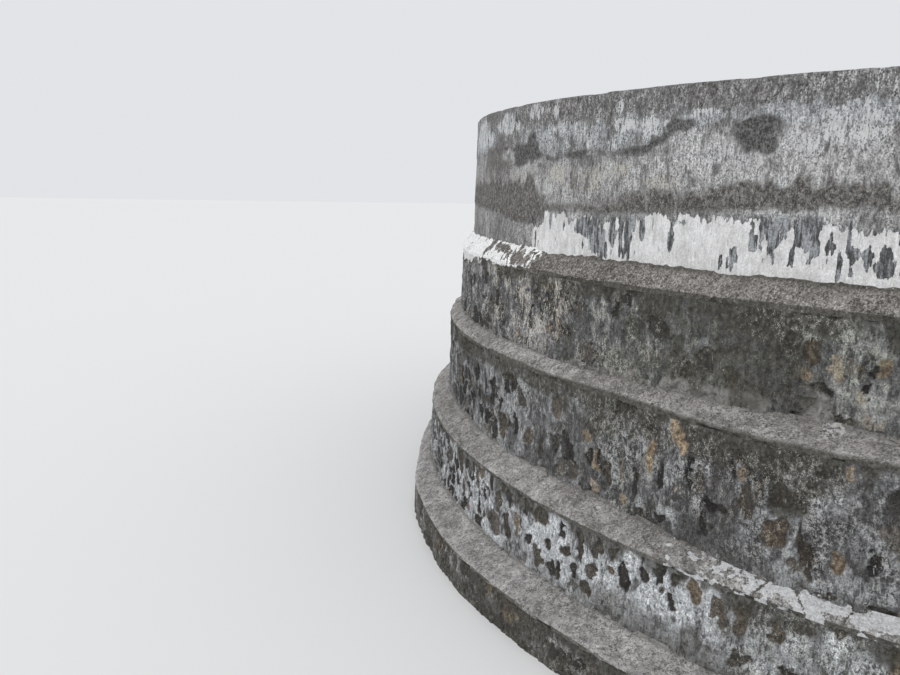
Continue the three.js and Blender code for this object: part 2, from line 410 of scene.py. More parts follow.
# Stones told apart in the photograph: degrees, height, half width in degrees, half height, tone from dark
# to light, then, where a stone isn't as in STONE_DEFAULTS, ochre, depth behind the mortar and lean in
# degrees per metre down
STONE_DEFAULTS = (0, 1, 0)
CHOSEN_STONES = {
    "lower_tier_wall": [
        (192.1, 1.11, 0.55, 0.09, 0.25), (196, 0.81, 0.4, 0.07, 0.1),
        (198, 1.13, 0.55, 0.15, 0.3, 0.1, 0.7, 1.5), (199.3, 1.19, 0.6, 0.09, 0.15),
        (198.7, 0.84, 0.35, 0.12, 0.3, 0.1), (200.7, 0.85, 0.3, 0.09, 0.25), (202.3, 0.86, 0.28, 0.13, 0.1),
        (202.6, 1.22, 0.55, 0.07, 0.35, 0.35), (203.4, 1.01, 0.42, 0.09, 0.2, 0, 1, 1),
        (203.3, 0.75, 0.42, 0.06, 0.3, 0.15), (204.7, 1.19, 0.35, 0.1, 0.2),
        (206.4, 1.2, 0.85, 0.08, 0.3, 0.15, 1, 0.8), (205.7, 1.02, 0.45, 0.14, 0.35, 0.1, 0.8, 1),
        (205.3, 0.77, 0.85, 0.12, 0.55, 0.1, 0.4), (207.1, 0.87, 0.42, 0.15, 0.15, 0.05, 1, 1.5),
        (208.4, 0.93, 0.32, 0.13, 0.55, 0.55, 1, 0.5), (207.2, 1.16, 0.35, 0.07, 0.15),
        (210.2, 0.88, 0.36, 0.06, 0.15, 0, 1, -1), (211.5, 1.2, 0.48, 0.12, 0.3, 0.15),
        (210.9, 1.14, 0.25, 0.1, 0.35, 0.35), (212.3, 0.95, 0.52, 0.07, 0.2, 0.1, 1, -1.5),
        (213.5, 1.17, 0.32, 0.06, 0.05), (214.2, 0.98, 0.42, 0.07, 0.15, 0.1),
        (213.4, 0.73, 0.34, 0.11, 0, 0, 1, -1), (211.3, 0.74, 0.55, 0.1, 0.35, 0.1, 0.8),
        (215.5, 1.09, 0.34, 0.13, 0.2, 0.1, 1, 1), (215, 0.82, 0.28, 0.07, 0.15, 0, 1, -0.5),
        (217, 1.2, 0.26, 0.11, 0.25, 0.15, 1, 1), (216.6, 0.93, 0.4, 0.08, 0.3, 0.1, 1, -0.5),
        (218.4, 1.2, 0.38, 0.08, 0.2, 0.1), (218, 1.02, 0.32, 0.06, 0.3, 0.3),
        (219.2, 1.05, 0.42, 0.13, 0.1, 0, 1, 0.5), (220.7, 1.13, 0.38, 0.11, 0.15),
        (221.9, 1.2, 0.4, 0.12, 0.08, 0, 1, -1), (223.1, 1.18, 0.3, 0.06, 0.3, 0.1),
        (224.2, 1.16, 0.38, 0.09, 0.45, 0.45, 1, 0.5), (225.7, 1.08, 0.42, 0.13, 0.4, 0.2, 0.8, 2),
        (222.8, 1, 0.28, 0.06, 0.25), (227.2, 1.1, 0.45, 0.16, 0.35, 0.25, 0.8),
        (229, 1.12, 0.5, 0.12, 0.3, 0.2, 0.8), (216.2, 0.72, 0.45, 0.09, 0.3, 0.1, 0.6),
        (209.4, 1.18, 0.42, 0.08, 0.2), (194, 0.98, 0.5, 0.08, 0.25), (190.3, 0.86, 0.55, 0.1, 0.25),
        (188.5, 1.13, 0.6, 0.09, 0.2), (200.9, 1.2, 0.4, 0.07, 0.3, 0.1, 0.8),
    ],
    "middle_tier_wall": [
        (200.3, 2.1, 0.48, 0.2, 0.05, 0, 1, 0.6), (202, 2, 0.32, 0.07, 0),
        (201.9, 2.07, 0.22, 0.03, 1, 0.1, 0), (202.5, 1.73, 0.7, 0.16, 0.25, 0.15, 1, 0.5),
        (199.2, 1.76, 0.42, 0.1, 0.05), (197.8, 1.75, 0.52, 0.1, 0.1, 0, 1, 0.8),
        (196.9, 1.95, 0.45, 0.07, 0.05, 0, 1, -0.8), (196.3, 2.18, 0.6, 0.09, 0.05),
        (193.8, 2.07, 0.45, 0.1, 0.08), (194.3, 1.75, 0.5, 0.08, 0.1), (195.8, 1.72, 0.45, 0.06, 0.08),
        (198.6, 2.11, 0.3, 0.12, 0.1, 0, 0.8), (204.2, 2.28, 0.5, 0.1, 0.1, 0.05),
        (190.7, 1.68, 0.9, 0.12, 0.1), (191.5, 2, 0.6, 0.1, 0.12), (189, 1.88, 0.6, 0.12, 0.12),
        (204.6, 1.86, 0.3, 0.12, 0.12, 0, 0.8, -1), (206.5, 1.8, 0.4, 0.1, 0.3, 0.2, 0.8),
        (221.7, 2.37, 0.46, 0.15, 0.95, 0.95, -0.6, 2.8), (219.5, 2.1, 0.34, 0.17, 0.85, 0.95, -0.4, -1),
        (213.7, 2.08, 0.36, 0.06, 0.35, 0.5, 0), (214.7, 1.61, 0.36, 0.06, 1, 0.45, -0.6, 0.5),
        (217.2, 1.59, 0.42, 0.05, 0.6, 0.6, 0), (217.1, 1.87, 0.12, 0.13, 0.8, 0.55, 0),
        (214.5, 1.85, 0.2, 0.09, 0.55, 0.7, 0, 0.8), (221.8, 1.92, 0.2, 0.05, 0.95, 0.3, 0),
        (226, 2.31, 0.5, 0.11, 0.05, 0.1), (225.9, 2.22, 0.35, 0.06, 0.45, 0.55, 0.4),
        (228.7, 2.13, 0.95, 0.12, 0.06, 0.08, 0.8), (228.1, 1.84, 0.6, 0.11, 0.15, 0.25, 1, -1),
        (229.95, 1.74, 0.36, 0.2, 0.1, 0.1, 1, 1.3), (231.5, 1.74, 0.38, 0.1, 0.3, 0.55, 0.2, 1),
        (231, 1.46, 0.3, 0.04, 0.1, 0.1), (233.4, 1.82, 0.22, 0.07, 0.05), (230.4, 2.39, 0.4, 0.05, 0.05),
        (227.4, 2.38, 0.55, 0.05, 0.1, 0.05, 0.8), (231.8, 2.42, 0.22, 0.07, 0.65, 0.65, 0.3),
        (226.5, 2.04, 0.42, 0.14, 0.18, 0.12, 0.8), (220.6, 1.6, 0.62, 0.035, 0.05),
        (223.6, 1.7, 0.28, 0.14, 0.1), (222.6, 2.12, 0.22, 0.14, 0.05),
        (220.6, 1.95, 0.3, 0.12, 0.1, 0, 0.8), (218.3, 1.8, 0.3, 0.16, 0.12, 0, 0.8),
        (215.7, 1.8, 0.42, 0.12, 0.2, 0.1, 0.8), (210, 2.25, 0.5, 0.1, 0.3, 0.2, 0.8),
        (208.5, 1.72, 0.5, 0.12, 0.2, 0.1, 0.8),
    ],
    "upper_tier_wall": [
        (228.4, 3.06, 0.32, 0.07, 0.3, 0.45, 0, 1.5), (230, 3.13, 0.34, 0.11, 1, 0.45, -0.3, 1),
        (230.6, 3.17, 0.2, 0.07, 0.9, 0.2, -0.2), (231.1, 3.14, 0.14, 0.09, 0.05, 0.35),
        (231.1, 2.92, 0.2, 0.06, 1, 0.25, -0.3), (231.6, 2.77, 0.24, 0.06, 1, 0.25, -0.4),
        (232, 2.75, 0.18, 0.05, 0.95, 0.3, -0.4), (232.6, 2.74, 0.26, 0.04, 1, 0.2, -0.4),
        (232.3, 3.17, 0.34, 0.08, 0.25, 0.45, 0, -1.5), (231.4, 2.99, 0.26, 0.05, 0, 0, 1.2),
        (231.9, 3.13, 0.14, 0.05, 0), (207.2, 2.98, 0.35, 0.07, 0.45, 0.5, 0.8),
        (202.5, 2.79, 0.45, 0.04, 0.45, 0.5, 0.8), (204.6, 3.06, 0.26, 0.1, 0.05),
        (205.9, 3.14, 0.28, 0.09, 0.08), (198, 3.15, 0.4, 0.12, 0.1, 0.05), (208.9, 3.44, 0.3, 0.1, 0.1),
        (228.7, 3.22, 0.5, 0.12, 0.15, 0.2), (224, 2.9, 0.5, 0.1, 0.2, 0.2, 0.8),
        (220.8, 2.86, 0.45, 0.08, 0.1, 0.1),
    ],
}

# Pale and dark smears told apart in the photograph, by mask: degrees, height, half width in degrees,
# half height, strength
SMEARS = {
    "lower_tier_wall": {
        "lime": [
            (223.5, 1.1, 2.6, 0.22, 0.25), (214, 1.06, 3.2, 0.2, 0.15), (203.5, 0.7, 2, 0.1, 0.25),
            (205.3, 0.78, 1, 0.12, -0.5),
        ],
        "damp": [(221, 0.66, 9, 0.14, 0.55), (229.5, 1, 3, 0.2, 0.45), (196.5, 1.2, 2, 0.1, 0.4)],
    },
    "middle_tier_wall": {
        "lime": [
            (201.6, 2.39, 0.9, 0.05, 0.75), (200.4, 2.42, 0.6, 0.05, 0.5), (204.8, 2.42, 1.2, 0.07, 0.55),
            (188.5, 2.3, 0.7, 0.05, 0.6), (228.6, 2.36, 0.8, 0.1, 0.3), (229.3, 1.64, 0.6, 0.15, 0.45),
            (221.2, 1.66, 0.8, 0.06, 0.6), (223.4, 2.02, 0.8, 0.17, 0.45), (231.2, 2.2, 0.9, 0.14, 0.45),
            (221, 2.08, 0.5, 0.16, 0.45), (226.6, 1.8, 0.4, 0.16, 0.4), (232.4, 1.6, 0.9, 0.1, 0.6),
            (230.8, 2.2, 0.5, 0.1, 0.4), (229.1, 1.95, 0.6, 0.04, 0.9), (229.4, 1.86, 0.28, 0.11, 0.9),
        ],
        "specks": [
            (218, 2.15, 2.5, 0.2, 0.4), (227.2, 1.74, 0.5, 0.16, 0.7), (230, 2.22, 0.7, 0.12, 0.6),
            (231.3, 1.98, 1.2, 0.12, 0.6), (230.7, 1.78, 0.5, 0.15, 0.5), (223, 2, 1.2, 0.25, 0.5),
            (228.8, 2.14, 1, 0.14, -0.6), (229.3, 1.62, 0.7, 0.15, -0.8), (226.5, 2.3, 5, 0.22, 0.4),
        ],
        # The first three spots lie along the top of the face, under the ledge above: painted shade there as
        # well as damp
        "damp": [
            (199, 2.46, 11, 0.1, 1.3), (217, 2.38, 4.5, 0.2, 0.7), (227.5, 2.4, 5, 0.14, 0.6),
            (213, 2.1, 3, 0.3, 0.35), (228.8, 2.14, 1.1, 0.16, 0.6), (219, 1.85, 1.6, 0.25, 0.35),
            (225.3, 1.85, 1, 0.25, 0.4),
        ],
    },
    "upper_tier_wall": {
        "lime": [
            (231.8, 2.85, 1, 0.13, 0.6), (230.3, 3.46, 0.6, 0.13, 0.85), (228.5, 3.34, 0.4, 0.12, 0.85),
            (195.2, 2.95, 1.9, 0.17, 0.25), (205.4, 2.92, 1.1, 0.18, 0.25),
        ],
        "runs": [
            (203.5, 3.1, 0.3, 0.22, 0.8), (208.2, 3.1, 0.35, 0.24, 0.9), (201.5, 3.38, 2.2, 0.14, 0.35),
        ],
        "damp": [
            (214, 3, 7, 0.4, 0.3), (187, 3.2, 3, 0.25, 0.25), (225, 3.1, 4, 0.34, 0.6),
            (229.5, 3.35, 2.5, 0.14, 0.1), (220, 2.9, 5, 0.08, 0.3),
        ],
        "wash": [(185, 3.56, 6, 0.12, 1), (198.6, 3.575, 2.6, 0.055, 1)],
        "mortar": [(222, 2.72, 4.4, 0.095, 1.3), (229.3, 2.76, 1, 0.16, 0.8), (214, 2.7, 6, 0.04, 0.8)],
    },
    "footing_wall": {
        "damp": [(205, 0.05, 30, 0.14, 0.5)],
    },
}


def rubble_look(name, place, level, top):
    """Relief and masks of a rubble face between its level and its top."""
    theta, radius, height = place
    rubble = RUBBLE[name]
    seed = rubble["seed"]
    turned, raised = warped(place, seed + 1)
    inside, tone, kind = stones(turned, raised, radius, rubble["width"], rubble["rise"], seed)
    vein = rubble["vein"] + 0.9 * wave(place, 0.15, seed + 3)
    show = follow(theta, rubble["shown"])
    strength = 0.2 + 0.8 * fade(show - 0.06, show + 0.06, kind)
    stone = strength * soft_step(vein, vein + 0.14, inside)
    # Rim is painted shadow along the edge of each stone, where the stone lies deeper than the mortar
    rim = strength * bell((inside - vein - 0.03) / 0.07)
    tone = 0.45 * tone
    ochre = np.where(cell_noise(tone) > 0.95, 0.4, 0.1 * (tone > 0.3))
    deep = stone.copy()
    slab = 0 * stone
    for chosen in CHOSEN_STONES.get(name, []):
        shade, warm, depth, lean = chosen[4:] + STONE_DEFAULTS[len(chosen) - 5:]
        pale = warm > SLAB_OCHRE
        pull = 0.55 if pale else 0.9
        across = theta + pull * (turned - theta)
        along = height + pull * (raised - height)
        reach = reach_of(across, along, chosen[:4], lean)
        here = fade(0.78, 1.22, reach)
        clear = soft_step(1.05, 1.55, reach)
        stone = np.maximum(stone * clear, here)
        # Painted shadow round each chosen stone, stronger where the stone is dark and set further in or out
        rim_shadow = max(0, 0.9 - 2 * shade) * min(1, abs(depth))
        rim = np.maximum(rim * clear, rim_shadow * bell((reach - 0.95) / 0.14))
        deep = np.where(reach < 1.55, deep * clear + depth * here, deep)
        beside = soft_step(1, 1.5, reach)
        slab = np.maximum(slab * beside, (0.9 if pale else 0.35) * (1 - beside))
        tone = np.where(reach < 1.3, shade, tone)
        ochre = np.where(reach < 1.3, warm, ochre)
    swell = wave(place, 0.8, seed + 4, 2)
    lumps = wave(place, 0.26, seed + 7)
    grain = wave(place, 0.06, seed + 8, 2, 1.2)
    pits = soft_step(0.62, 0.74, ring_noise(place, 0.085, seed + 9, 2, 1.2))
    relief = -0.014 + 0.03 * swell + 0.045 * lumps + 0.022 * grain - rubble["deep"] * deep - 0.016 * pits
    if name == "footing_wall":
        relief = np.minimum(relief, -0.002 + 0.2 * relief)
    cloud = wave(place, 0.6, seed + 10, 4, 1.2)
    blotch = wave(place, 0.17, seed + 12, 3, 1.4)
    # Under is the band along the top of the face, under the nose of the ledge above: it is painted shade
    # there as well as damp
    under = fade(0.02, 0.17, top - height + 0.5 * blotch)
    masks = {
        "lime": follow(theta, rubble["lime"]) + 1.3 * cloud + 1.2 * blotch,
        "runs": follow(theta, rubble["runs"]) * (0.8 + 1.5 * cloud + blotch),
        "specks": follow(theta, rubble["specks"]) + 1.6 * cloud,
        "wash": 0 * relief,
        "mortar": 0 * relief,
        "algae": follow(theta, rubble["algae"]) + 0.8 * cloud,
        # The damp mask here is partly painted shade: darker under the ledge above, in the corner at the foot
        # of the face and in the pits of the relief
        "damp": 0.85 * under + 0.35 * close_to(height - level, 0.08) + 0.35 * pits,
    }
    rough = 2.2 * wave(place, 0.14, seed + 11, 3, 1.4)
    for mask, spots in SMEARS[name].items():
        for *spot, amount in spots:
            masks[mask] = masks[mask] + amount * patch(theta, height, spot, 0.9, rough)
    masks["damp"] = masks["damp"] * (1 - 0.9 * slab * (ochre > SLAB_OCHRE))
    masks = clipped(masks)
    masks.update(stone=stone, slab=slab, rim=np.clip(rim, 0, 1), tone=tone, ochre=np.clip(ochre, 0, 1))
    return relief, masks


def wall_piece(name, index):
    bed, top, foot_radius, top_radius, turn, level, stray = WALLS[name]
    angles, theta, fine = ring_part(turn, WALL_BLOCKS, index, GAP, foot_radius)
    parapet = name == "parapet_wall"
    low = bed if bed == 0 else bed + GAP / 2
    high = top if parapet else top - GAP / 2
    sight = max(low, level - FACE_TAIL)
    outer = rows(sight, high, FINE_STEP if fine else COARSE_STEP * 0.9)
    if sight > low:
        outer = np.concatenate([[low], outer])
    inner = rows(low, high, BACK_STEP)[::-1]
    face = foot_radius + (top_radius - foot_radius) * (outer - bed) / (top - bed)
    back = np.full((len(angles), len(inner)), PARAPET_BACK if parapet else COURT_RADIUS)
    radius = np.concatenate([face[None, :] + eased(stray, theta), back], axis=1)
    height = np.broadcast_to(np.concatenate([outer, inner]), radius.shape)
    if parapet:
        relief, marks = render_look(theta, height, foot_radius)
    else:
        relief, marks = rubble_look(name, (theta, foot_radius, height), level, top)
    first, last = len(outer), len(outer) + len(inner) - 1
    order = np.arange(last + 1)
    outward = np.where(order < first, 1, -1) * ~np.isin(order, [first, last])
    corners = [0, first - 1, first, last]
    radius = radius + relief * outward
    return swept_piece(f"{name}_{index + 1}_masonry", angles, radius, height, marks, corners)


# The render was laid in lifts: height of the lap under the top one and of the lap over the lowest, at degrees
UPPER_LAP = {
    0: 4.8, 60: 4.72, 120: 4.82, 176: 4.8, 187.3: 4.81, 192.8: 4.83, 195.4: 4.86, 197.9: 4.86, 203.4: 4.76,
    205.2: 4.73, 207.2: 4.73, 209.4: 4.79, 210.9: 4.75, 211.8: 4.72, 213.1: 4.76, 214.1: 4.78, 216: 4.83,
    216.9: 4.85, 217.5: 4.92, 218.1: 4.96, 220: 4.95, 222.2: 4.98, 224.9: 4.96, 228: 4.94, 234: 4.9,
    250: 4.78, 300: 4.84, 360: 4.8,
}
LOWER_LAP = {
    0: 4.18, 90: 4.22, 180: 4.16, 193: 4.14, 196: 4.16, 200: 4.08, 203: 4.04, 205: 4.16, 209: 4.2,
    214: 4.23, 219: 4.22, 228: 4.24, 300: 4.2, 360: 4.18,
}

# How dark the seam under the top lift is, and how pale the render is, at degrees
SEAM = {
    0: 0.6, 90: 0.3, 150: 0.7, 184: 0.3, 187.3: 0.8, 190: 0.5, 192.8: 1, 198: 1.1, 203.4: 1, 205.2: 0.6,
    207: 1.2, 209.4: 1.2, 209.9: 0.2, 210.5: 0.3, 210.9: 1.1, 212.3: 0.9, 213: 0.3, 213.6: 0.9, 216: 1.2,
    216.5: 0.7, 217.9: 1.1, 219.4: 0.9, 220.4: 0.4, 222: 0.9, 226: 0.3, 234: 0.5, 300: 0.7, 360: 0.6,
}
RENDER_LIME = {
    0: 0.5, 60: 0.4, 120: 0.55, 180: 0.48, 196: 0.47, 201: 0.49, 206: 0.56, 215: 0.6, 222: 0.66, 230: 0.62,
    270: 0.45, 320: 0.55, 360: 0.5,
}

# Moss above the lowest lift: how thick it is, its lower and its upper edge, at degrees
MOSS = {
    0: 0.8, 70: 0.6, 150: 0.85, 180: 0.8, 190: 1.05, 202: 1.05, 205.5: 0.5, 208: 0.4, 210: 0.65, 213: 0.75,
    216: 1.05, 226: 1.05, 245: 0.7, 300: 0.8, 360: 0.8,
}
MOSS_FOOT = {
    0: 4.2, 180: 4.16, 194: 4.13, 197: 4.05, 202: 4.02, 203.5: 4.06, 204.3: 4.18, 210: 4.2, 214: 4.22,
    219: 4.24, 221: 4.27, 224.5: 4.3, 230: 4.3, 300: 4.22, 360: 4.2,
}
MOSS_HEAD = {
    0: 4.42, 90: 4.38, 183: 4.46, 196: 4.48, 200: 4.5, 203: 4.43, 204.5: 4.34, 207: 4.3, 211: 4.32,
    213.7: 4.35, 216.7: 4.36, 218.9: 4.39, 220.8: 4.44, 222.2: 4.47, 224.3: 4.5, 228: 4.5, 300: 4.4,
    360: 4.42,
}

# Height of the cream strokes and of the top of the bare field at the left
CREAM_HEIGHT = 4.58
FIELD_TOP = 4.12

# How grimy the render is under the coping, at degrees
GRIME = {0: 0.8, 170: 0.6, 186: 0.35, 196: 0.55, 203: 0.9, 208: 1, 360: 0.8}

# Spots of the parapet told apart in the photograph, by mask: degrees, height, half width in degrees,
# half height, strength
PARAPET_SPOTS = {
    "damp": [
        (200.3, 4.79, 2.3, 0.1, 1.3), (201.4, 4.91, 1, 0.1, 1.1), (199.3, 4.7, 1, 0.06, 0.7),
        (216.3, 4.86, 0.8, 0.05, 0.6), (223.6, 4.89, 1.4, 0.11, 1.15), (223.9, 4.8, 1, 0.08, 1.1),
        (218.3, 4.99, 0.9, 0.045, 0.95), (217.3, 4.93, 0.6, 0.05, 0.6), (209.2, 4.68, 1.2, 0.05, 0.45),
        (214.6, 4.76, 1.8, 0.04, 0.6), (221.1, 4.6, 0.3, 0.05, 0.8), (211.2, 4.86, 0.7, 0.12, 0.4),
        (208.2, 4.75, 1.2, 0.035, 0.7),
    ],
    "moss": [
        (192, 4.6, 5, 0.12, 0.3), (202, 4.58, 1.5, 0.06, 0.3), (209.5, 4.2, 6.5, 0.05, 0.35),
        (198.5, 4.34, 4, 0.12, 0.35), (218.5, 4.36, 4.5, 0.08, 0.5), (225, 4.37, 3, 0.09, 0.5),
    ],
    "lime": [
        (190, 4.62, 7, 0.1, 0.15), (195.7, 5.13, 1.9, 0.09, 0.8), (202.3, 5.23, 1.3, 0.06, 0.8),
        (187.5, 5.04, 4.5, 0.17, 0.55), (190.2, 4.99, 2.4, 0.09, 0.5), (196.3, 4.78, 1.9, 0.07, 0.55),
        (226, 4.85, 0.9, 0.11, 1.5), (219.5, 4.73, 2.4, 0.17, 0.45), (218.8, 4.86, 0.9, 0.05, 0.6),
        (206.5, 4.93, 4.5, 0.12, 0.2), (214.5, 4.55, 3.5, 0.16, 0.2), (205.6, 4.6, 1.2, 0.08, 0.35),
        (211.5, 4.62, 1.6, 0.08, 0.25), (229.5, 4.95, 3, 0.2, 0.2), (193, 4.7, 3, 0.1, -0.25),
        (204, 4.4, 1, 0.05, 0.4),
    ],
    "fleck": [
        (186, 5.08, 3.2, 0.16, 0.7), (189.3, 5, 1.9, 0.08, 1.2), (195.7, 5.13, 1.8, 0.1, 1.3),
        (202.2, 5.22, 1.4, 0.07, 1), (205.2, 5.17, 0.35, 0.06, 0.8), (209.6, 4.87, 0.28, 0.06, 1.6),
        (198.2, 5.1, 1, 0.05, 0.8), (212.7, 5.17, 0.25, 0.045, 0.75), (197, 4.76, 1.2, 0.05, 0.35),
        (206.5, 4.94, 4, 0.12, 0.3), (215.8, 4.97, 0.8, 0.1, 0.65), (217.1, 4.97, 0.3, 0.05, 1),
        (213.2, 5, 0.9, 0.05, 0.9), (212, 4.83, 0.9, 0.05, 0.7), (219.8, 5.07, 1.2, 0.03, 0.9),
        (188, 3.95, 3, 0.1, 0.4), (200, 4.62, 2.5, 0.07, 0.4), (222.5, 4.68, 2, 0.12, 0.35),
        (228.5, 4.86, 2.5, 0.15, 0.45),
    ],
    "cream": [
        (205.7, 4.58, 0.7, 0.06, 1.3), (210.4, 4.58, 1, 0.04, 1.1), (213, 4.6, 0.6, 0.06, 1.1),
        (209, 4.45, 2, 0.05, 0.8), (217, 4.48, 1.4, 0.07, 0.7), (199.5, 4.55, 2, 0.06, 0.6),
        (208, 4.52, 5, 0.1, 0.35), (200.5, 4.17, 3, 0.05, 0.6),
    ],
}

# Height where the whitewash of the parapet begins
WASH_FOOT = 3.6

# Upper edge of the whitewash along the foot of the parapet at degrees, the places where it has come away
# as degrees, height, half width in degrees, half height and strength, and how far it has worn at degrees
WASH_EDGE = {
    200: 3.6, 201.9: 3.68, 202.3: 3.98, 203.2: 3.98, 203.9: 4.05, 204.3: 4.16, 205.2: 4.14, 206.8: 4.16,
    208: 4.1, 209.6: 4.16, 211.8: 4.12, 213: 4.16, 216: 4.17, 219: 4.18, 228: 4.2, 236: 4.1, 238: 3.6,
}
WASH_GAPS = [
    (209.3, 4.06, 1, 0.1, 1.2), (210.7, 4.02, 0.35, 0.18, 1.2), (211.5, 4.02, 0.16, 0.22, 1.1),
    (212.8, 4.03, 0.18, 0.17, 0.9), (213.6, 3.97, 0.16, 0.19, 0.9), (214.4, 4, 0.18, 0.22, 0.9),
    (215.6, 4.04, 0.23, 0.13, 1.1), (218, 3.97, 0.18, 0.12, 1.1), (204.95, 4.08, 0.13, 0.08, 1),
    (206.9, 4.06, 0.11, 0.06, 0.9), (207.6, 4.1, 0.16, 0.04, 0.9), (212, 3.84, 0.25, 0.07, 0.8),
    (218.9, 4.15, 0.4, 0.04, 0.9),
]
WASH_WEAR = {
    0: 0.4, 200: 0, 210: 0.05, 211: 0.34, 214: 0.3, 216.5: 0.08, 222: 0.12, 226: 0.26, 236: 0.3, 360: 0.4,
}


def render_look(theta, height, around):
    """Relief and masks of the rendered parapet: three lifts, each lapped over the one below."""
    place = (theta, around, height)
    flat = (theta, around, 0 * height)
    degrees = np.degrees(theta)
    seen = between(degrees, 176, 182, 230, 236)
    upper = follow(theta, UPPER_LAP) + 0.05 * wave(flat, 0.16, 31)
    lower = follow(theta, LOWER_LAP) + 0.1 * wave(flat, 0.16, 32)
    waves = wave(place, 0.7, 33)
    lumps = wave(place, 0.2, 40)
    grain = wave(place, 0.05, 34, 2, 1.5)
    laps = soft_step(-0.012, 0.012, height - upper) + soft_step(-0.012, 0.012, height - lower)
    relief = -0.022 + 0.007 * laps + 0.03 * waves + 0.016 * lumps + 0.008 * grain
    cloud = wave(place, 0.4, 35, 4)
    broad = wave(place, 1, 36, 3, 0.5)
    ragged = wave(place, 0.1, 38, 3, 1.3)
    drip = wave((theta, around, height * 0.16), 0.045, 39)
    foot = soft_step(-0.04, 0.04, height - follow(theta, MOSS_FOOT) + 0.16 * ragged)
    head = fade(-0.1, 0.07, height - follow(theta, MOSS_HEAD) + 0.22 * ragged + 0.2 * drip)
    dashes = np.clip(0.55 + 2.8 * ragged + 1.4 * cloud, 0, 1.4)
    left = fade(186, 200, degrees) * seen * soft_step(4.95, 4.7, height)
    masks = {
        "damp": 0.85 * bell((height - upper + 0.12 * ragged) / 0.034) * follow(theta, SEAM) * dashes,
        "moss": follow(theta, MOSS) * foot * head * (1 + cloud) + 0.35 * cloud - 0.02 + 0.25 * left,
        "lime": follow(theta, RENDER_LIME) + broad + 0.9 * cloud + 0.5 * ragged,
        "fleck": 0.16 + 0.9 * cloud + 0.3 * soft_step(4.75, 5, height) * (1 - 0.6 * seen),
        "cream": 0.1 + 0.9 * cloud + 0.25 * fade(0.05, 0.22, np.abs(height - CREAM_HEIGHT)),
    }
    for mask, spots in PARAPET_SPOTS.items():
        for *spot, amount in spots:
            masks[mask] = masks[mask] + amount * patch(theta, height, spot, 1.1, 1.1 * ragged)
    top = soft_step(5.03, 5.16, height + 0.25 * ragged + 0.1 * cloud) * follow(theta, GRIME)
    wash, under = whitewash(degrees, height, flat, cloud, ragged, drip)
    plain, rim = plain_field(degrees, height, flat)
    lift = soft_step(-0.05, 0.05, height - upper)
    masks = clipped(masks) | dict(top=top, wash=wash, under=under, plain=plain, rim=rim, lift=lift)
    return np.minimum(relief - 0.006 * plain, -0.001), masks


def whitewash(degrees, height, flat, cloud, ragged, drip):
    """Whitewash along the foot of the parapet, with gaps and worn places, and the bare face behind it."""
    theta = flat[0]
    broken = WASH_FOOT + 0.56 * soft_step(0.46, 0.54, ring_noise(flat, 1.1, 37))
    far = fade(165, 172, degrees) + soft_step(236, 240, degrees)
    edge = np.where(far > 0.5, broken, follow(theta, WASH_EDGE)) + 0.16 * drip + 0.1 * ragged
    wash = fade(-0.035, 0.035, height - edge)
    under = fade(-0.02, 0.03, height - edge) * soft_step(WASH_FOOT, WASH_FOOT + 0.12, edge)
    for *spot, strength in WASH_GAPS:
        hole = patch(theta, height, spot, 0.9, 1.3 * drip + 1.6 * ragged)
        wash = wash * (1 - np.clip(strength * hole, 0, 1))
    worn = follow(theta, WASH_WEAR) - 0.35 * fade(3.66, 3.9, height)
    chance = 1.2 * drip + 0.8 * ragged + 1.8 * cloud
    return np.clip(wash * fade(-0.1, 0.1, chance - 0.45 + worn), 0, 1), under


def plain_field(degrees, height, flat):
    """A smooth field of bare render at the left, and its pale upper rim."""
    bow = FIELD_TOP - 0.01 * np.clip(degrees - 196.5, 0, None) ** 2 + 0.02 * wave(flat, 0.12, 43, 2)
    plain = between(degrees, 190.5, 192.5, 202.6, 203) * fade(-0.01, 0.01, height - bow)
    return plain, bell((height - bow) / 0.012) * between(degrees, 193, 194.5, 202, 203)


# Seed of each ledge, how worn its nose is, and its cracks: degrees, lean in degrees from the nose to the
# inner edge, strength
LEDGE_SEED = {"footing_ledge": 41, "lower_ledge": 44, "middle_ledge": 47, "upper_ledge": 50}
LEDGE_WEAR = {"footing_ledge": 1, "lower_ledge": 0.45, "middle_ledge": 0.4, "upper_ledge": 0.2}
LEDGE_CRACKS = {
    "footing_ledge": [(206.2, 0.6, 0.4), (213, -0.5, 0.3)],
    "lower_ledge": [
        (227.6, 0.5, 1), (230.4, -0.7, 1), (224.9, 0.3, 0.6), (208.9, 0.8, 0.5), (232.2, 0.4, 0.9),
    ],
    "middle_ledge": [(201, 0.4, 0.3), (219.4, 0.3, 0.4)],
    "upper_ledge": [(190.5, 0.8, 0.4), (204.4, 0.5, 0.4)],
}

# Whitewash of the uppermost ledge, at degrees: how thin it is and how far it hangs down over the nose
BRUSH_THIN = {150: 0.22, 186: 0.26, 192: 0.31, 197: 0.33, 200: 0.3, 203: 0.36, 360: 0.32}
BRUSH_HANG = {150: 0.04, 180: 0.09, 190: 0.08, 192: 0.02, 196: 0.03, 200: 0.05, 202: 0, 360: 0}

# Its gaps and its full spots: degrees, distance in from the nose, half width in degrees, half depth, and
# the strength of the gaps
BRUSH_GAPS = [
    (193.6, 0.1, 0.55, 0.09, 1), (196, 0.11, 1, 0.05, 0.9), (197.8, 0.11, 0.8, 0.04, 0.8),
    (200.9, 0.12, 0.8, 0.12, 1), (199, 0.07, 0.3, 0.05, 0.8), (202.1, 0.04, 0.7, 0.04, 0.8),
]
BRUSH_SPOTS = [(203.8, 0.2, 0.9, 0.04), (202, 0.17, 1, 0.05)]


